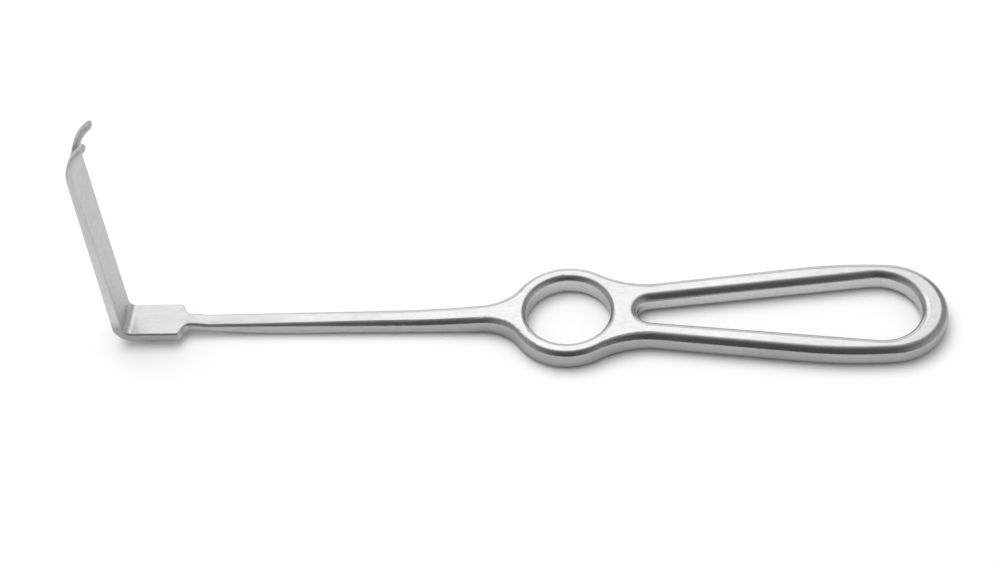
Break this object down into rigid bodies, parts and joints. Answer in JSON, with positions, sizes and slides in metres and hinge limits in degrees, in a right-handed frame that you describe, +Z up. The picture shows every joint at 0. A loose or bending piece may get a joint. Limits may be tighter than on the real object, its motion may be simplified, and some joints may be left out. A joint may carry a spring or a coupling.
{
  "type": "handheld surgical retractor",
  "caption": "Steel ramus retractor with a flat ring-and-loop handle, a tapered shaft and a bent-up blade that ends in a hooked fork.",
  "frame": {"origin": "centre of the finger ring, halfway between its two flats", "axes": "+X along the handle from the blade towards the end of the loop, +Y across the handle, +Z up, the way the blade stands"},
  "size_m": [0.2203, 0.0314, 0.0725],
  "materials": {
    "steel": "semi-polished handle and shaft, satin blade"
  },
  "bodies": {
    "root": {"retractor": "steel"}
  },
  "joints": []
}
